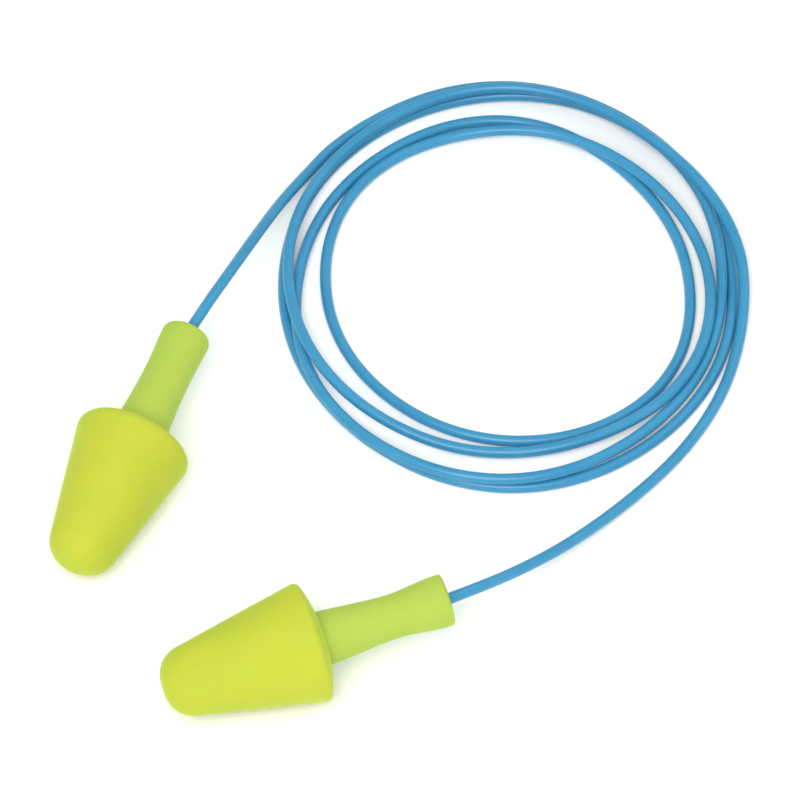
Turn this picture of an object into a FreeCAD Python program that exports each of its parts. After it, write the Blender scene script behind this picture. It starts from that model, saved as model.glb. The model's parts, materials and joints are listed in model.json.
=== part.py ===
import FreeCAD, Part
import math
import os

# A pair of push-in foam ear plugs joined by one loosely coiled cord, lying on a table.
# Millimetres. The origin is on the table, under the middle of the two plugs' common box.
# Each plug is modelled along its own axis first: the nose towards +Z, and the foam tip's
# back plane at z = 0. It is then laid on the table with its nose turned and dipped.

Vector = FreeCAD.Vector
UP = Vector(0, 0, 1)

# foam tip: a blunt cone with a round nose, a domed back and a soft rim between the two
TIP_LENGTH = 16.8
TIP_BASE_RADIUS = 6.65
TIP_NOSE_RADIUS = 3.3
NOSE_ROUNDING = 3.2
BACK_DOME = 1.3
RIM_ROUNDING = 0.8

# stem: a foamed skin round a flexible core, thinner at its waist than at its two ends
STEM_LENGTH = 15.0
STEM_NECK_RADIUS = 2.95
STEM_WAIST_RADIUS = 2.5
STEM_END_RADIUS = 2.8
STEM_WAIST_PLACE = 9.0
STEM_NECK_SPREAD = 0.06
STEM_END_ROUNDING = 0.5
STEM_END_WALL = 0.8
FLEX_RANGE = 25.0
NECK_SPARE_ANGLE = 2.0

# flexible core, with a blind socket for the cord's end
CORE_RADIUS = 1.3
CORE_IN_TIP = 10.0
CORE_TOP_ROUNDING = 0.8
CORE_CLEARANCE = 0.04
CORE_END_GAP = 0.1
SOCKET_DEPTH = 6.0
BOND_THICKNESS = 0.15

# cord
CORD_DIAMETER = 1.25
CORD_RADIUS = CORD_DIAMETER / 2
EXIT_GAP = 0.6
RUN_SHARE = 0.45

# where each plug lies: the middle of its tip's back plane seen from above, the heading of its
# nose from +X, and how far its nose dips; the rim of the tip rests on the table
PLUGS = {
    "upper": {"place": (-12.65, 9.95), "heading": -112.0, "dip": 6.0},
    "lower": {"place": (7.1, -16.45), "heading": -162.0, "dip": 4.5},
}

# coil: the oval ring that the loose turns fill, two or three cords high
COIL_OUTER_CENTRE = (28.8, 37.0)
COIL_OUTER_HALF = (27.2, 30.2)
COIL_INNER_CENTRE = (28.5, 36.3)
COIL_INNER_HALF = (19.9, 21.2)
COIL_HEIGHT = 3.4
COIL_ROUNDING = 1.0

# the leads: from each plug, out of the stem, down to the table and into the coil
UPPER_ROUTE = [
    (-4.9, 27.9, 8.4),
    (-2.9, 32.0, 7.9),
    (-0.9, 36.9, 6.5),
    (1.0, 42.0, 4.6),
    (3.1, 47.3, 2.6),
    (5.9, 52.6, 1.0),
    (9.4, 57.3, 0.7),
]
LOWER_ROUTE = [
    (25.0, -9.7, 7.1),
    (29.4, -5.9, 4.9),
    (34.5, -0.9, 2.4),
    (40.9, 5.6, 0.8),
    (47.2, 12.4, 0.65),
    (51.9, 20.1, 0.65),
    (54.5, 28.6, 0.65),
    (55.2, 35.8, 0.65),
]

# anything thinner or lower than this counts as flat, and a part is laid down from well above
FLAT = 0.01
WELL_ABOVE = 50.0


def turned(profile):
    """A closed solid of revolution about Z, from a closed list of edges in the XZ plane."""
    face = Part.Face(Part.Wire(profile))
    return face.revolve(Vector(0, 0, 0), UP, 360)


def line(start, end):
    return Part.LineSegment(Vector(start[0], 0, start[1]), Vector(end[0], 0, end[1])).toShape()


def arc(start, middle, end):
    points = [Vector(p[0], 0, p[1]) for p in (start, middle, end)]
    return Part.Arc(*points).toShape()


def rod(radius, low, high):
    return Part.makeCylinder(radius, high - low, Vector(0, 0, low), UP)


def corner_arc(before, corner, after, radius):
    """The start, middle and end of the arc that rounds a corner in the (r, z) plane."""
    back = Vector(before[0] - corner[0], 0, before[1] - corner[1]).normalize()
    forward = Vector(after[0] - corner[0], 0, after[1] - corner[1]).normalize()
    half = back.getAngle(forward) / 2
    reach = radius / math.tan(half)
    point = Vector(corner[0], 0, corner[1])
    start = point + back * reach
    end = point + forward * reach
    inward = (back + forward).normalize()
    middle = point + inward * (radius / math.sin(half) - radius)
    return [(p.x, p.z) for p in (start, middle, end)]


def foam_tip():
    """A blunt cone. The edge between its side and its domed back is rounded last."""
    rim = (TIP_BASE_RADIUS, 0.0)
    nose = (TIP_NOSE_RADIUS, TIP_LENGTH)
    crown = (0.0, TIP_LENGTH)
    back = (0.0, -BACK_DOME)
    nose_arc = corner_arc(rim, nose, crown, NOSE_ROUNDING)
    tip = turned(
        [
            line(back, crown),
            line(crown, nose_arc[2]),
            arc(nose_arc[2], nose_arc[1], nose_arc[0]),
            line(nose_arc[0], rim),
            arc(rim, dome_middle(), back),
        ]
    )
    rim_edges = [e for e in flat_edges(tip) if abs(e.BoundBox.ZMax) < FLAT]
    tip = tip.makeFillet(RIM_ROUNDING, rim_edges)
    bore = rod(CORE_RADIUS + CORE_CLEARANCE, -2 * BACK_DOME, CORE_IN_TIP + CORE_END_GAP)
    return tip.cut(bore)


def flat_edges(shape):
    """The edges that lie level."""
    return [e for e in shape.Edges if e.BoundBox.ZLength < FLAT]


def dome_middle():
    """A point half-way up the back's dome, which is a part of a sphere."""
    sphere = (TIP_BASE_RADIUS**2 + BACK_DOME**2) / (2 * BACK_DOME)
    half = math.asin(TIP_BASE_RADIUS / sphere) / 2
    return (sphere * math.sin(half), sphere - BACK_DOME - sphere * math.cos(half))


def stem_sleeve():
    """The foamed skin. Its neck is cut back as a cone, which leaves the stem room to flex."""
    slope = math.tan(math.radians(FLEX_RANGE + NECK_SPARE_ANGLE))
    neck_inner = (CORE_RADIUS, -BACK_DOME - CORE_RADIUS * slope)
    neck_outer = (STEM_NECK_RADIUS, -BACK_DOME - STEM_NECK_RADIUS * slope)
    end_corner = (STEM_END_RADIUS, -STEM_LENGTH)
    end_axis = (CORD_RADIUS, -STEM_LENGTH)
    above_end = (STEM_END_RADIUS, -STEM_LENGTH + 2 * STEM_END_ROUNDING)
    end_arc = corner_arc(above_end, end_corner, end_axis, STEM_END_ROUNDING)
    waist = Part.BSplineCurve()
    waist.interpolate(
        [
            Vector(end_arc[0][0], 0, end_arc[0][1]),
            Vector(STEM_WAIST_RADIUS, 0, -STEM_WAIST_PLACE),
            Vector(neck_outer[0], 0, neck_outer[1]),
        ],
        InitialTangent=UP,
        FinalTangent=Vector(STEM_NECK_SPREAD, 0, 1),
    )
    wall = -STEM_LENGTH + STEM_END_WALL
    return turned(
        [
            waist.toShape(),
            line(neck_outer, neck_inner),
            line(neck_inner, (CORE_RADIUS, wall)),
            line((CORE_RADIUS, wall), (CORD_RADIUS, wall)),
            line((CORD_RADIUS, wall), end_axis),
            line(end_axis, end_arc[2]),
            arc(end_arc[2], end_arc[1], end_arc[0]),
        ]
    )


def socket_span():
    low = -STEM_LENGTH + STEM_END_WALL
    return low, low + SOCKET_DEPTH


def flexible_core():
    low, deep = socket_span()
    core = rod(CORE_RADIUS, low, CORE_IN_TIP)
    top = [e for e in core.Edges if e.BoundBox.ZMin > CORE_IN_TIP - FLAT]
    core = core.makeFillet(CORE_TOP_ROUNDING, top)
    return core.cut(rod(CORD_RADIUS + BOND_THICKNESS, low, deep))


def cord_bond():
    low, deep = socket_span()
    return rod(CORD_RADIUS + BOND_THICKNESS, low, deep).cut(rod(CORD_RADIUS, low, deep))


def cord_end():
    return rod(CORD_RADIUS, -STEM_LENGTH, socket_span()[1])


def nose_direction(plug):
    heading = math.radians(plug["heading"])
    dip = math.radians(plug["dip"])
    level = math.cos(dip)
    return Vector(math.cos(heading) * level, math.sin(heading) * level, -math.sin(dip))


def resting_height(plug):
    """How high the middle of the tip's back plane is when the tip's rim rests on the table."""
    tip = foam_tip()
    start = Vector(0, 0, WELL_ABOVE)
    tip.Placement = FreeCAD.Placement(start, FreeCAD.Rotation(UP, nose_direction(plug)))
    corner = Vector(-WELL_ABOVE, -WELL_ABOVE, 0)
    table = Part.makePlane(2 * WELL_ABOVE, 2 * WELL_ABOVE, corner)
    return WELL_ABOVE - tip.distToShape(table)[0]


def back_centre(plug):
    """The middle of the tip's back plane, which the plug's own z is measured from."""
    return Vector(plug["place"][0], plug["place"][1], plug["height"])


def along(plug, distance):
    return back_centre(plug) + nose_direction(plug) * distance


def laid(shape, plug):
    placed = shape.copy()
    placed.Placement = FreeCAD.Placement(back_centre(plug), FreeCAD.Rotation(UP, nose_direction(plug)))
    return placed


def tube(name, points):
    """Straight runs joined by tangent arcs, each as large as its two runs allow."""
    edges = []
    radii = []
    here = points[0]
    for before, corner, after in zip(points, points[1:], points[2:]):
        back = (before - corner).normalize()
        forward = (after - corner).normalize()
        half_turn = (math.pi - back.getAngle(forward)) / 2
        shorter = min((before - corner).Length, (after - corner).Length)
        reach = RUN_SHARE * shorter
        radius = reach / math.tan(half_turn)
        bisector = (back + forward).normalize()
        middle = corner + bisector * (radius / math.cos(half_turn) - radius)
        start = corner + back * reach
        end = corner + forward * reach
        edges.append(Part.LineSegment(here, start).toShape())
        edges.append(Part.Arc(start, middle, end).toShape())
        radii.append(round(radius, 1))
        here = end
    edges.append(Part.LineSegment(here, points[-1]).toShape())
    path = Part.Wire(edges)
    circle = Part.Circle(points[0], points[1] - points[0], CORD_RADIUS)
    section = Part.Wire(circle.toShape())
    solid = path.makePipeShell([section], True, False)
    ratio = solid.Volume / (math.pi * CORD_RADIUS**2 * path.Length)
    print(name, "length", round(path.Length, 1), "radii", radii, "volume ratio", round(ratio, 4))
    return solid


def lead(name, plug, route):
    start = along(plug, -STEM_LENGTH - EXIT_GAP)
    return tube(name, [start] + [Vector(*p) for p in route])


def oval_disc(centre, half):
    """A flat disc with an oval outline; the half-width along Y is the larger one."""
    middle = Vector(centre[0], centre[1], 0)
    outline = Part.Ellipse(middle + Vector(0, half[1], 0), middle + Vector(half[0], 0, 0), middle)
    return Part.Face(Part.Wire(outline.toShape())).extrude(Vector(0, 0, COIL_HEIGHT))


def cord_coil():
    outer = oval_disc(COIL_OUTER_CENTRE, COIL_OUTER_HALF)
    ring = outer.cut(oval_disc(COIL_INNER_CENTRE, COIL_INNER_HALF))
    return ring.makeFillet(COIL_ROUNDING, flat_edges(ring))


def all_parts():
    parts = {}
    for side, plug in PLUGS.items():
        plug["height"] = resting_height(plug)
        parts[side + "_foam_tip"] = laid(foam_tip(), plug)
        parts[side + "_stem_sleeve"] = laid(stem_sleeve(), plug)
        parts[side + "_flexible_core"] = laid(flexible_core(), plug)
        parts[side + "_cord_bond"] = laid(cord_bond(), plug)
        parts[side + "_cord_end"] = laid(cord_end(), plug)
    parts["upper_cord_lead"] = lead("upper_cord_lead", PLUGS["upper"], UPPER_ROUTE)
    parts["lower_cord_lead"] = lead("lower_cord_lead", PLUGS["lower"], LOWER_ROUTE)
    parts["cord_coil"] = cord_coil()
    return parts


def main():
    os.makedirs("parts", exist_ok=True)
    for name, shape in all_parts().items():
        solid = shape.Solids[0]
        box = solid.BoundBox
        print(name, "solids", len(shape.Solids), "valid", solid.isValid(), "volume", round(solid.Volume, 1))
        print("   box", [round(v, 2) for v in (box.XMin, box.YMin, box.ZMin, box.XMax, box.YMax, box.ZMax)])
        solid.exportStep("parts/" + name + ".step")


main()
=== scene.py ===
"""A pair of corded push-in foam ear plugs, lying on a pale floor.

The frame holds the plugs' places, axes and joints. This script builds what shows: the foam
tips, the foamed stems, the flexible cores inside them and the one vinyl cord.
"""

import json
import math

import bpy
import numpy as np
from mathutils import Matrix, Vector, noise


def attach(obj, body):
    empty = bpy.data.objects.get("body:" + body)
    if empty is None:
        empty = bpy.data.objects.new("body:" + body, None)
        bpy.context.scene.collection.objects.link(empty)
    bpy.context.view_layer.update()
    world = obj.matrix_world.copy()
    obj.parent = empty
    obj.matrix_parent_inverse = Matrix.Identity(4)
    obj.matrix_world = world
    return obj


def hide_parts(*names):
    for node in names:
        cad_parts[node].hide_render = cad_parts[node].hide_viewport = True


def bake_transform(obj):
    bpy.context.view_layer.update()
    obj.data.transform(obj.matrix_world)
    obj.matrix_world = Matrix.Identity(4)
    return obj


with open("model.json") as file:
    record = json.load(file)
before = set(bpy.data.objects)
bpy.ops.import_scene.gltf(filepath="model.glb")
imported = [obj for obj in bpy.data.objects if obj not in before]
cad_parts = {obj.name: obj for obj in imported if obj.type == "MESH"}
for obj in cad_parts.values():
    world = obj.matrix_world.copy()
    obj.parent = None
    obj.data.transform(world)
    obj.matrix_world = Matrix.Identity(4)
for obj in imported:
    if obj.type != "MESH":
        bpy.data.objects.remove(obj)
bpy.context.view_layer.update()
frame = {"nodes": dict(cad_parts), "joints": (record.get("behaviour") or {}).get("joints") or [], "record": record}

MM = 0.001
SIDES = ("upper", "lower")

# meshes of revolution: faces round the axis, and the spacing of the points along the outline
TIP_SEGMENTS = 160
STEM_SEGMENTS = 120
CORE_SEGMENTS = 48
FOAM_STEP = 0.12 * MM
CORE_STEP = 0.4 * MM
FEWEST_ARC_STEPS = 4
SAME_POINT_DIGITS = 7
ON_AXIS = 1e-7

# foam tip, along its own axis: the back plane at 0 and the nose towards +Z
TIP_LENGTH = 16.8 * MM
TIP_BASE_RADIUS = 6.65 * MM
TIP_NOSE_RADIUS = 3.3 * MM
NOSE_ROUNDING = 3.2 * MM
NOSE_CROWN = 0.1 * MM
BACK_DOME = 1.3 * MM
RIM_ROUNDINGS = {"upper": 1.1 * MM, "lower": 0.7 * MM}
DOME_ROWS = 10
TIP_ROUGHNESS = 0.03 * MM
TIP_SEED = 3.7

# stem, from inside the tip's back to the end that the cord comes out of
STEM_LENGTH = 15.0 * MM
STEM_ROWS = 40
FLARE_END = 0.95
STEM_ROUGHNESS = 0.025 * MM
STEM_SEED = 5.3
CORD_HOLE_DEPTH = 0.6 * MM
CORD_HOLE_SPARE = 0.02 * MM
CORD_HOLE_FLARE = 0.25 * MM
END_BULGE = 0.08 * MM
STEMS = {
    "upper": {"neck": 2.95 * MM, "waist": 2.6 * MM, "end": 2.75 * MM, "flare": 0.6, "rounding": 0.9 * MM},
    "lower": {"neck": 2.95 * MM, "waist": 2.4 * MM, "end": 2.85 * MM, "flare": 0.6, "rounding": 0.25 * MM},
}

# unevenness of the moulded foam: broad hollows, and a fine grain over them
HOLLOW_SIZE = 3.5 * MM
GRAIN_SIZE = 0.55 * MM
GRAIN_SHARE = 0.35

# flexible core inside the stem and the tip
CORE_RADIUS = 1.3 * MM
CORE_IN_TIP = 10.0 * MM
CORE_TOP_ROUNDING = 0.8 * MM
CORE_END_ROUNDING = 0.1 * MM
CORE_END_WALL = 0.8 * MM
SOCKET_DEPTH = 6.0 * MM
BOND_THICKNESS = 0.15 * MM

# cord
CORD_DIAMETER = 0.00125
CORD_RADIUS = CORD_DIAMETER / 2
CORD_STEPS_PER_SPAN = 6
CORD_ROUNDNESS = 6
UPPER_ROUTE = [
    (-0.0049, 0.0279, 0.0084),
    (-0.0029, 0.0320, 0.0079),
    (-0.0009, 0.0369, 0.0065),
    (0.0010, 0.0420, 0.0046),
    (0.0031, 0.0473, 0.0026),
    (0.0059, 0.0526, 0.0010),
]
LOWER_ROUTE = [
    (0.0545, 0.0286, 0.00065),
    (0.0519, 0.0201, 0.00065),
    (0.0472, 0.0124, 0.00065),
    (0.0409, 0.0056, 0.0008),
    (0.0345, -0.0009, 0.0024),
    (0.0294, -0.0059, 0.0049),
    (0.0250, -0.0097, 0.0071),
]

# coil: loose turns wound clockwise. Each row is one turn, and says how far it reaches from the
# coil's middle, in mm, at the back left, back, back right, right, front right, front, front
# left and left. The cord comes in from, and leaves towards, a wider reach
COIL_MIDDLE = (0.0285, 0.0370)
COIL_START = math.radians(135)
REACHES_PER_TURN = 8
STEPS_PER_REACH = 3
POINTS_PER_TURN = REACHES_PER_TURN * STEPS_PER_REACH
COMING_IN = 29.5
LOOSE_TURNS = [
    (28.0, 29.0, 26.75, 25.5, 27.25, 29.25, 27.0, 25.5),
    (26.25, 27.25, 26.0, 24.25, 25.75, 29.0, 27.5, 23.75),
    (23.25, 23.75, 20.75, 20.5, 22.75, 22.75, 21.25, 20.75),
    (22.0, 21.75, 21.25, 22.75, 24.75, 24.5, 25.25, 25.0),
    (26.0, 27.25, 25.25, 26.75),
]
LEAVING = 28.5

# how the turns settle on each other: how often that is worked out, and how much lower, in
# metres, a cord that is lifted at one point may be one and two points away
SETTLING_PASSES = 6
COMING_DOWN = ((1, 0.0), (2, 0.00055))

# materials: colours are linear, and a size is that of the pattern's own features
FOAMS = {
    "tip_foam": {
        "light": (0.445, 0.465, 0.036),
        "deep": (0.40, 0.455, 0.036),
        "pore_depth": 0.03 * MM,
    },
    "stem_foam": {
        "light": (0.37, 0.465, 0.07),
        "deep": (0.34, 0.45, 0.066),
        "pore_depth": 0.025 * MM,
    },
}
FOAM_CLOUDS = 4.0 * MM
FOAM_PORES = 0.24 * MM
FOAM_PORE_PATCHES = 0.9 * MM
# how much darker the foam's pores are painted: painted shade in their dimples
PORE_PAINTED_SHADE = 0.07
FOAM_SKIN = 0.14 * MM
FOAM_SKIN_DEPTH = 0.012 * MM
FOAM_ROUGHNESS = (0.70, 0.85)
FOAM_LOOK = {
    "Subsurface Weight": 0.35,
    "Subsurface Radius": (0.5, 1.0, 0.25),
    "Subsurface Scale": 1.2 * MM,
    "Specular IOR Level": 0.25,
    "Sheen Weight": 0.3,
    "Sheen Roughness": 0.4,
    "Sheen Tint": (0.5, 1.0, 0.25, 1),
}
VINYL_DEEP = (0.034, 0.260, 0.475)
VINYL_LIGHT = (0.048, 0.295, 0.52)
VINYL_CLOUDS = 7.0 * MM
VINYL_RIPPLES = 0.8 * MM
VINYL_RIPPLE_DEPTH = 0.01 * MM
VINYL_ROUGHNESS = (0.30, 0.40)
VINYL_LOOK = {
    "IOR": 1.5,
    "Specular IOR Level": 0.35,
    "Transmission Weight": 0.15,
    "Subsurface Weight": 0.5,
    "Subsurface Radius": (0.1, 0.6, 1.0),
    "Subsurface Scale": 0.8 * MM,
}
MOULDED = {
    "core_plastic": {"colour": (0.52, 0.70, 0.20), "roughness": 0.45},
    "adhesive": {"colour": (0.80, 0.80, 0.74), "roughness": 0.2},
}
MOULDED_CLOUDS = 1.5 * MM
MOULDED_DARKER = 0.9
MOULDED_DEPTH = 0.02 * MM
FLOOR_LOOK = {
    "Base Color": (0.93, 0.93, 0.93, 1),
    "Roughness": 0.9,
    "Specular IOR Level": 0.1,
}

# stage: angles in degrees, the rest in metres and watts
FLOOR_SIZE = 3.0
WORLD_COLOUR = (0.90, 1, 0.95, 1)
WORLD_STRENGTH = 0.72
KEY_LIGHT = {
    "azimuth": -10,
    "elevation": 55,
    "distance": 0.7,
    "size": 0.45,
    "power": 4.6,
    "colour": (1.0, 0.94, 0.90),
}
FILL_LIGHT = {
    "azimuth": 120,
    "elevation": 50,
    "distance": 0.8,
    "size": 0.5,
    "power": 0.8,
    "colour": (1.0, 1.0, 1.0),
}

# camera
VIEW_ELEVATION = math.radians(53)
VIEW_DISTANCE = 0.62
VIEW_AIM = Vector((0.0163, 0.0206, 0.0))
VIEW_LENS = 251.0
VIEW_CLIP = (0.01, 10)

joints = {j["name"]: j for j in frame["joints"]}
mounts = {m["name"]: m for m in frame["record"]["mounts"]}


# ---------------------------------------------------------------- places


def nose_axis(side):
    return Vector(mounts[side + "_ear_canal"]["axis"]).normalized()


def back_centre(side):
    """The middle of the tip's back plane, which each plug's own Z is measured from."""
    return Vector(mounts[side + "_ear_canal"]["pos_m"]) - nose_axis(side) * TIP_LENGTH


def plug_matrix(side):
    turn = Vector((0, 0, 1)).rotation_difference(nose_axis(side))
    return Matrix.Translation(back_centre(side)) @ turn.to_matrix().to_4x4()


def exit_point(side):
    return Vector(joints[side + "_swing"]["pos_m"])


# ---------------------------------------------------------------- outlines and meshes


def rounded_outline(corners, step):
    """Evenly spaced points along an (r, z) outline. A corner is (r, z, radius of its rounding)."""
    path = [Vector(corners[0][:2])]
    for before, here, after in zip(corners, corners[1:], corners[2:]):
        corner = Vector(here[:2])
        back = (Vector(before[:2]) - corner).normalized()
        forward = (Vector(after[:2]) - corner).normalized()
        half = back.angle(forward) / 2
        if here[2] == 0:
            path.append(corner)
            continue
        reach = here[2] / math.tan(half)
        middle = corner + (back + forward).normalized() * (here[2] / math.sin(half))
        start = corner + back * reach - middle
        end = corner + forward * reach - middle
        sweep = start.angle_signed(end)
        pieces = max(FEWEST_ARC_STEPS, int(abs(sweep) * here[2] / step))
        for k in range(pieces + 1):
            spoke = start.copy()
            spoke.rotate(Matrix.Rotation(-sweep * k / pieces, 2))
            path.append(middle + spoke)
    path.append(Vector(corners[-1][:2]))
    return evenly(path, step)


def evenly(path, step):
    """The path's own points, and more along it a step apart."""
    points = np.array(path)
    along = np.concatenate([[0], np.cumsum(np.linalg.norm(np.diff(points, axis=0), axis=1))])
    wanted = np.linspace(0, along[-1], max(2, round(along[-1] / step)))
    wanted = np.unique(np.concatenate([wanted, along]).round(SAME_POINT_DIGITS))
    return [(np.interp(w, along, points[:, 0]), np.interp(w, along, points[:, 1])) for w in wanted]


def lathe(name, outline, segments):
    """A closed mesh of revolution about Z. The outline runs from the axis to the axis."""
    inner = [p for p in outline if p[0] > ON_AXIS]
    verts = []
    for r, z in inner:
        for k in range(segments):
            angle = 2 * math.pi * k / segments
            verts.append((r * math.cos(angle), r * math.sin(angle), z))
    faces = []
    for row in range(len(inner) - 1):
        for k in range(segments):
            low = row * segments
            after = (k + 1) % segments
            faces.append((low + k, low + after, low + segments + after, low + segments + k))
    first = len(verts)
    verts.append((0, 0, outline[0][1]))
    verts.append((0, 0, outline[-1][1]))
    last_row = (len(inner) - 1) * segments
    for k in range(segments):
        after = (k + 1) % segments
        faces.append((first, after, k))
        faces.append((first + 1, last_row + k, last_row + after))
    mesh = bpy.data.meshes.new(name)
    mesh.from_pydata(verts, [], faces)
    mesh.update()
    piece = bpy.data.objects.new(name, mesh)
    bpy.context.scene.collection.objects.link(piece)
    mesh.polygons.foreach_set("use_smooth", [True] * len(mesh.polygons))
    return piece


def roughen(piece, depth, seed):
    """Moulded foam is never quite true. The seed gives each piece hollows of its own."""
    mesh = piece.data
    shift = Vector((seed, 2 * seed, 3 * seed))
    moved = []
    for vertex in mesh.vertices:
        broad = noise.noise(vertex.co / HOLLOW_SIZE + shift)
        fine = noise.noise(vertex.co / GRAIN_SIZE + shift)
        moved.append(vertex.co + vertex.normal * depth * (broad + GRAIN_SHARE * fine))
    mesh.vertices.foreach_set("co", [x for co in moved for x in co])
    mesh.update()


def place(piece, side):
    """From the plug's own axis to where it lies."""
    piece.data.transform(plug_matrix(side))
    piece.data.update()


# ---------------------------------------------------------------- materials


def new_material(name):
    material = bpy.data.materials.new(name)
    material.use_nodes = True
    tree = material.node_tree
    shader = tree.nodes["Principled BSDF"]
    return material, tree, shader


def set_look(shader, look):
    for socket, value in look.items():
        shader.inputs[socket].default_value = value


def add(tree, kind, **values):
    """A new node. A name that isn't one of its properties is one of its sockets."""
    node = tree.nodes.new(kind)
    for key, value in values.items():
        if hasattr(node, key):
            setattr(node, key, value)
        else:
            node.inputs[key.replace("_", " ").title()].default_value = value
    return node


def colour_ramp(tree, stops):
    ramp = tree.nodes.new("ShaderNodeValToRGB")
    elements = ramp.color_ramp.elements
    while len(elements) < len(stops):
        elements.new(0.5)
    for element, (place_on_ramp, colour) in zip(elements, stops):
        element.position = place_on_ramp
        element.color = (*colour, 1)
    return ramp


def grain_noise(tree, coordinates, size, detail=3.0, roughness=0.5):
    """A noise whose features are about that size."""
    node = add(tree, "ShaderNodeTexNoise", scale=1 / size, detail=detail, roughness=roughness)
    tree.links.new(coordinates, node.inputs["Vector"])
    return node


def mixed(node):
    """The colour that comes out of a node."""
    return next(out for out in node.outputs if out.type == "RGBA" and out.enabled)


def blended_colours(tree, how, share, first, second):
    node = tree.nodes.new("ShaderNodeMix")
    node.data_type = "RGBA"
    node.blend_type = how
    takes = [socket for socket in node.inputs if socket.enabled]
    takes[0].default_value = share
    tree.links.new(mixed(first), takes[1])
    tree.links.new(mixed(second), takes[2])
    return node


def varied_roughness(tree, shader, source, lowest_and_highest):
    gloss = tree.nodes.new("ShaderNodeMapRange")
    gloss.inputs["To Min"].default_value = lowest_and_highest[0]
    gloss.inputs["To Max"].default_value = lowest_and_highest[1]
    tree.links.new(source.outputs["Fac"], gloss.inputs["Value"])
    tree.links.new(gloss.outputs["Result"], shader.inputs["Roughness"])


def foam_material(name, light, deep, pore_depth):
    """Closed-skin polyurethane foam: faint clouds, fine open pores with painted shade in their dimples, soft light
    inside.
    """
    material, tree, shader = new_material(name)
    coordinates = tree.nodes.new("ShaderNodeTexCoord").outputs["Object"]

    clouds = grain_noise(tree, coordinates, FOAM_CLOUDS, detail=2.0)
    colour = colour_ramp(tree, [(0.30, deep), (0.70, light)])
    tree.links.new(clouds.outputs["Fac"], colour.inputs["Fac"])

    pores = add(tree, "ShaderNodeTexVoronoi", scale=1 / FOAM_PORES, randomness=1.0)
    tree.links.new(coordinates, pores.inputs["Vector"])
    pore_mask = colour_ramp(tree, [(0.0, (0, 0, 0)), (0.30, (1, 1, 1))])
    tree.links.new(pores.outputs["Distance"], pore_mask.inputs["Fac"])

    scatter = grain_noise(tree, coordinates, FOAM_PORE_PATCHES, detail=2.0)
    pore_share = colour_ramp(tree, [(0.45, (1, 1, 1)), (0.62, (0, 0, 0))])
    tree.links.new(scatter.outputs["Fac"], pore_share.inputs["Fac"])
    open_pores = blended_colours(tree, "LIGHTEN", 1.0, pore_mask, pore_share)
    # the pores, which the bump below sinks as dimples, are painted a little darker: painted shade
    painted_pore_shade = blended_colours(tree, "MULTIPLY", PORE_PAINTED_SHADE, colour, open_pores)
    tree.links.new(mixed(painted_pore_shade), shader.inputs["Base Color"])

    skin = grain_noise(tree, coordinates, FOAM_SKIN, detail=2.0)
    skin_bump = add(tree, "ShaderNodeBump", strength=0.25, distance=FOAM_SKIN_DEPTH)
    tree.links.new(skin.outputs["Fac"], skin_bump.inputs["Height"])
    pore_bump = add(tree, "ShaderNodeBump", strength=0.6, distance=pore_depth)
    tree.links.new(mixed(open_pores), pore_bump.inputs["Height"])
    tree.links.new(skin_bump.outputs["Normal"], pore_bump.inputs["Normal"])
    tree.links.new(pore_bump.outputs["Normal"], shader.inputs["Normal"])

    varied_roughness(tree, shader, scatter, FOAM_ROUGHNESS)
    set_look(shader, FOAM_LOOK)
    return material


def cord_material():
    """Smooth blue vinyl, a little clear, with light scattered inside it."""
    material, tree, shader = new_material("blue_vinyl")
    coordinates = tree.nodes.new("ShaderNodeTexCoord").outputs["Object"]
    cloud = grain_noise(tree, coordinates, VINYL_CLOUDS, detail=2.0)
    colour = colour_ramp(tree, [(0.3, VINYL_DEEP), (0.7, VINYL_LIGHT)])
    tree.links.new(cloud.outputs["Fac"], colour.inputs["Fac"])
    tree.links.new(colour.outputs["Color"], shader.inputs["Base Color"])
    ripple = grain_noise(tree, coordinates, VINYL_RIPPLES, detail=2.0)
    bump = add(tree, "ShaderNodeBump", strength=0.2, distance=VINYL_RIPPLE_DEPTH)
    tree.links.new(ripple.outputs["Fac"], bump.inputs["Height"])
    tree.links.new(bump.outputs["Normal"], shader.inputs["Normal"])
    varied_roughness(tree, shader, ripple, VINYL_ROUGHNESS)
    set_look(shader, VINYL_LOOK)
    return material


def moulded_material(name, colour, roughness):
    """Plain moulded plastic or set adhesive: faint clouds that are also its unevenness."""
    material, tree, shader = new_material(name)
    coordinates = tree.nodes.new("ShaderNodeTexCoord").outputs["Object"]
    cloud = grain_noise(tree, coordinates, MOULDED_CLOUDS)
    darker = tuple(channel * MOULDED_DARKER for channel in colour)
    ramp = colour_ramp(tree, [(0.3, darker), (0.7, colour)])
    tree.links.new(cloud.outputs["Fac"], ramp.inputs["Fac"])
    tree.links.new(ramp.outputs["Color"], shader.inputs["Base Color"])
    bump = add(tree, "ShaderNodeBump", strength=0.3, distance=MOULDED_DEPTH)
    tree.links.new(cloud.outputs["Fac"], bump.inputs["Height"])
    tree.links.new(bump.outputs["Normal"], shader.inputs["Normal"])
    shader.inputs["Roughness"].default_value = roughness
    return material


TIP_FOAM = foam_material("tip_foam", **FOAMS["tip_foam"])
STEM_FOAM = foam_material("stem_foam", **FOAMS["stem_foam"])
CORE_PLASTIC = moulded_material("core_plastic", **MOULDED["core_plastic"])
ADHESIVE = moulded_material("adhesive", **MOULDED["adhesive"])
BLUE_VINYL = cord_material()


# ---------------------------------------------------------------- pieces


def back_dome():
    """The tip's back is part of a sphere. These are its rows, from the middle to the rim."""
    sphere = (TIP_BASE_RADIUS**2 + BACK_DOME**2) / (2 * BACK_DOME)
    rows = []
    for k in range(DOME_ROWS):
        radius = TIP_BASE_RADIUS * k / DOME_ROWS
        rise = sphere - math.sqrt(sphere**2 - radius**2)
        rows.append((radius, rise - BACK_DOME, 0))
    return rows


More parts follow.
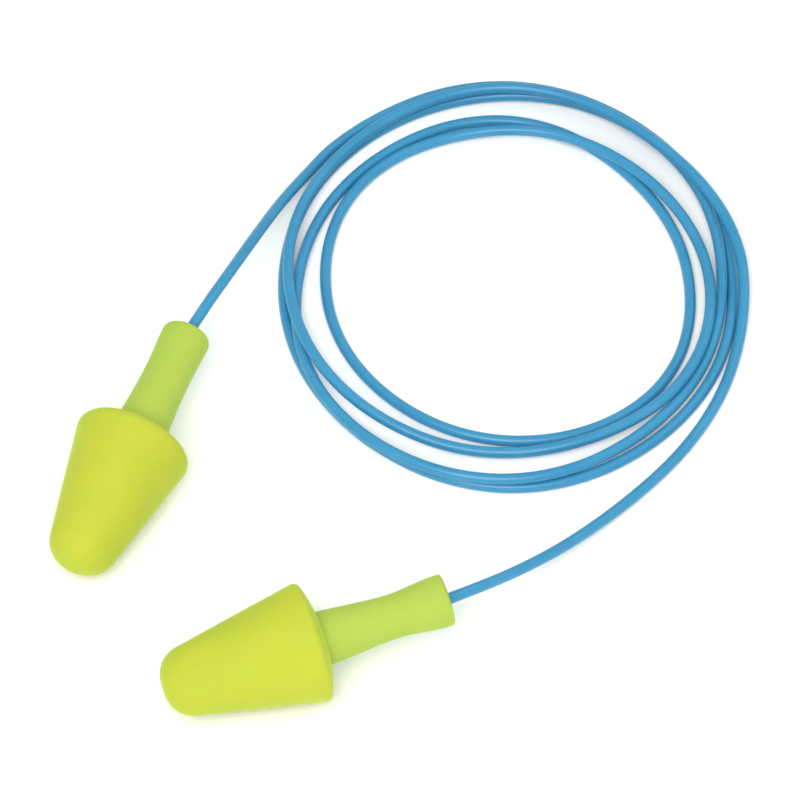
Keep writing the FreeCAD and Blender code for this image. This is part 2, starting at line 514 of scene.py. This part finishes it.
def foam_tip(side, seed):
    rim = RIM_ROUNDINGS[side]
    dome = [row for row in back_dome() if row[0] < TIP_BASE_RADIUS - rim]
    outline = rounded_outline(
        [
            *dome,
            (TIP_BASE_RADIUS, 0, rim),
            (TIP_NOSE_RADIUS, TIP_LENGTH - NOSE_CROWN, NOSE_ROUNDING),
            (0, TIP_LENGTH, 0),
        ],
        FOAM_STEP,
    )
    tip = lathe(side + "_tip_foam", outline, TIP_SEGMENTS)
    roughen(tip, TIP_ROUGHNESS, seed)
    place(tip, side)
    tip.data.materials.append(TIP_FOAM)
    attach(tip, side + "_tip")
    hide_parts(side + "_foam_tip")


def smooth_step(x):
    x = min(1.0, max(0.0, x))
    return x * x * (3 - 2 * x)


def stem_radius(shape, share):
    """The stem's radius at a share of its length from the neck: waisted, then flared."""
    narrowing = smooth_step(share / shape["flare"])
    flaring = smooth_step((share - shape["flare"]) / (FLARE_END - shape["flare"]))
    narrowed = shape["neck"] + (shape["waist"] - shape["neck"]) * narrowing
    return narrowed + (shape["end"] - shape["waist"]) * flaring


def stem_outline(shape):
    """From the axis inside the tip, down the side, round the end and into the cord's hole."""
    corners = [(0, BACK_DOME, 0), (shape["neck"], BACK_DOME, 0)]
    for k in range(STEM_ROWS):
        share = k / STEM_ROWS
        if share * STEM_LENGTH < STEM_LENGTH - shape["rounding"]:
            corners.append((stem_radius(shape, share), -share * STEM_LENGTH, 0))
    hole = CORD_RADIUS + CORD_HOLE_SPARE
    corners.append((shape["end"], -STEM_LENGTH, shape["rounding"]))
    corners.append((hole + CORD_HOLE_FLARE, -STEM_LENGTH - END_BULGE, 0))
    corners.append((hole, -STEM_LENGTH + CORD_HOLE_DEPTH, 0))
    corners.append((0, -STEM_LENGTH + CORD_HOLE_DEPTH, 0))
    return rounded_outline(corners, FOAM_STEP)


def foamed_stem(side, seed):
    stem = lathe(side + "_stem_foam", stem_outline(STEMS[side])[::-1], STEM_SEGMENTS)
    roughen(stem, STEM_ROUGHNESS, seed)
    place(stem, side)
    stem.data.materials.append(STEM_FOAM)
    bend_with_flex(stem)
    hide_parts(side + "_stem_sleeve")


def flexible_core(side):
    """A rod with a blind socket at its lower end, where the adhesive and the cord's end go."""
    low = -STEM_LENGTH + CORE_END_WALL
    socket = CORD_RADIUS + BOND_THICKNESS
    outline = rounded_outline(
        [
            (0, low + SOCKET_DEPTH, 0),
            (socket, low + SOCKET_DEPTH, 0),
            (socket, low, 0),
            (CORE_RADIUS, low, CORE_END_ROUNDING),
            (CORE_RADIUS, CORE_IN_TIP, CORE_TOP_ROUNDING),
            (0, CORE_IN_TIP, 0),
        ],
        CORE_STEP,
    )
    core = lathe(side + "_core", outline, CORE_SEGMENTS)
    place(core, side)
    core.data.materials.append(CORE_PLASTIC)
    bend_with_flex(core)
    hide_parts(side + "_flexible_core")


def bend_with_flex(piece):
    """Bakes the piece's placement into its mesh. The piece is not bent."""
    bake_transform(piece)


def between(before, start, end, after, share):
    """A smooth (Catmull-Rom) value between start and end."""
    first = (end - before) / 2
    last = (after - start) / 2
    bend = 3 * (end - start) - 2 * first - last
    tail = 2 * (start - end) + first + last
    return start + share * (first + share * (bend + share * tail))


def coil_plan():
    """The turns as seen from above, point by point."""
    reaches = [COMING_IN, *(reach for turn in LOOSE_TURNS for reach in turn), LEAVING]
    points = []
    for k in range((len(reaches) - 3) * STEPS_PER_REACH + 1):
        place_in_list, step = divmod(k, STEPS_PER_REACH)
        around = reaches[place_in_list : place_in_list + 4]
        if step == 0:
            reach = around[1]
        else:
            reach = between(*around, step / STEPS_PER_REACH)
        angle = COIL_START - 2 * math.pi * k / POINTS_PER_TURN
        x = COIL_MIDDLE[0] + reach * MM * math.cos(angle)
        y = COIL_MIDDLE[1] + reach * MM * math.sin(angle)
        points.append((x, y))
    return np.array(points)


def gaps_to(point, line):
    """How far a point is from each run of a line, and how far along the run that is."""
    runs = line[1:] - line[:-1]
    share = ((point - line[:-1]) * runs).sum(1) / (runs * runs).sum(1)
    share = np.clip(share, 0, 1)
    return np.linalg.norm(point - line[:-1] - share[:, None] * runs, axis=1), share


def laid_heights(plan):
    """Each turn lies on the floor, or on the turns below it wherever it comes over them."""
    heights = np.full(len(plan), CORD_RADIUS)
    half_turn = POINTS_PER_TURN // 2
    for _ in range(SETTLING_PASSES):
        needed = np.full(len(plan), CORD_RADIUS)
        for k in range(half_turn, len(plan)):
            last = k - half_turn
            gap, share = gaps_to(plan[k], plan[: last + 1])
            below = heights[:last] * (1 - share) + heights[1 : last + 1] * share
            over = gap < CORD_DIAMETER
            if over.any():
                resting = below[over] + np.sqrt(CORD_DIAMETER**2 - gap[over] ** 2)
                needed[k] = max(needed[k], resting.max())
        heights = eased(needed)
    return heights


def eased(needed):
    """A stiff cord rises and comes down in a long low hump, not in a step."""
    lifted = needed.copy()
    for places, drop in COMING_DOWN:
        lifted[places:] = np.maximum(lifted[places:], needed[:-places] - drop)
        lifted[:-places] = np.maximum(lifted[:-places], needed[places:] - drop)
    smooth = lifted.copy()
    smooth[1:-1] = (lifted[:-2] + 2 * lifted[1:-1] + lifted[2:]) / 4
    return np.maximum(np.maximum(smooth, needed), CORD_RADIUS)


def cord():
    """One cord from plug to plug: the upper lead, all the turns, and the lower lead."""
    plan = coil_plan()
    coil = [(x, y, z) for (x, y), z in zip(plan, laid_heights(plan))]
    upper_exit = exit_point("upper")
    lower_exit = exit_point("lower")
    points = [upper_exit, *UPPER_ROUTE, *coil, *LOWER_ROUTE, lower_exit]
    curve = bpy.data.curves.new("cord", "CURVE")
    curve.dimensions = "3D"
    spline = curve.splines.new("NURBS")
    spline.points.add(len(points) - 1)
    for knot, point in zip(spline.points, points):
        knot.co = (*point, 1)
    spline.order_u = 3
    spline.use_endpoint_u = True
    spline.use_smooth = True
    spline.resolution_u = CORD_STEPS_PER_SPAN
    curve.bevel_depth = CORD_RADIUS
    curve.bevel_resolution = CORD_ROUNDNESS
    curve.use_fill_caps = True
    piece = bpy.data.objects.new("cord", curve)
    bpy.context.scene.collection.objects.link(piece)
    curve.materials.append(BLUE_VINYL)
    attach(piece, "cord")
    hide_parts("cord_coil", "upper_cord_lead", "lower_cord_lead")


def finish_frame_nodes():
    """The frame's own nodes that stay: the cord's ends and the adhesive round them."""
    for side in SIDES:
        for node, material in (("_cord_end", BLUE_VINYL), ("_cord_bond", ADHESIVE)):
            slots = frame["nodes"][side + node].data.materials
            slots.clear()
            slots.append(material)


# ---------------------------------------------------------------- stage


def floor():
    bpy.ops.mesh.primitive_plane_add(size=FLOOR_SIZE, location=(*VIEW_AIM[:2], 0))
    plane = bpy.context.object
    plane.name = "floor"
    material, _, shader = new_material("floor")
    set_look(shader, FLOOR_LOOK)
    plane.data.materials.append(material)


def direction_from(azimuth, elevation):
    """Towards the camera or a lamp. Azimuth 0 is the front, and 90 degrees is the right."""
    level = math.cos(elevation)
    return Vector((math.sin(azimuth) * level, -math.cos(azimuth) * level, math.sin(elevation)))


def area_light(name, azimuth, elevation, distance, size, power, colour):
    light = bpy.data.lights.new(name, "AREA")
    light.color = colour
    light.shape = "DISK"
    light.size = size
    light.energy = power
    lamp = bpy.data.objects.new(name, light)
    bpy.context.scene.collection.objects.link(lamp)
    away = direction_from(math.radians(azimuth), math.radians(elevation))
    lamp.location = VIEW_AIM + away * distance
    lamp.rotation_euler = away.to_track_quat("Z", "Y").to_euler()


def lights():
    world = bpy.data.worlds.new("studio")
    world.use_nodes = True
    background = world.node_tree.nodes["Background"]
    background.inputs["Color"].default_value = WORLD_COLOUR
    background.inputs["Strength"].default_value = WORLD_STRENGTH
    bpy.context.scene.world = world
    area_light("key", **KEY_LIGHT)
    area_light("fill", **FILL_LIGHT)


def camera():
    data = bpy.data.cameras.new("camera")
    data.lens = VIEW_LENS
    data.clip_start, data.clip_end = VIEW_CLIP
    holder = bpy.data.objects.new("camera", data)
    bpy.context.scene.collection.objects.link(holder)
    away = direction_from(0.0, VIEW_ELEVATION)
    holder.location = VIEW_AIM + away * VIEW_DISTANCE
    holder.rotation_mode = "QUATERNION"
    holder.rotation_quaternion = away.to_track_quat("Z", "Y")
    bpy.context.scene.camera = holder


def main():
    camera()
    cord()
    for number, side in enumerate(SIDES, start=1):
        foam_tip(side, TIP_SEED * number)
        foamed_stem(side, STEM_SEED * number)
        flexible_core(side)
    finish_frame_nodes()
    floor()
    lights()
    bpy.context.scene.view_settings.view_transform = "Standard"


main()
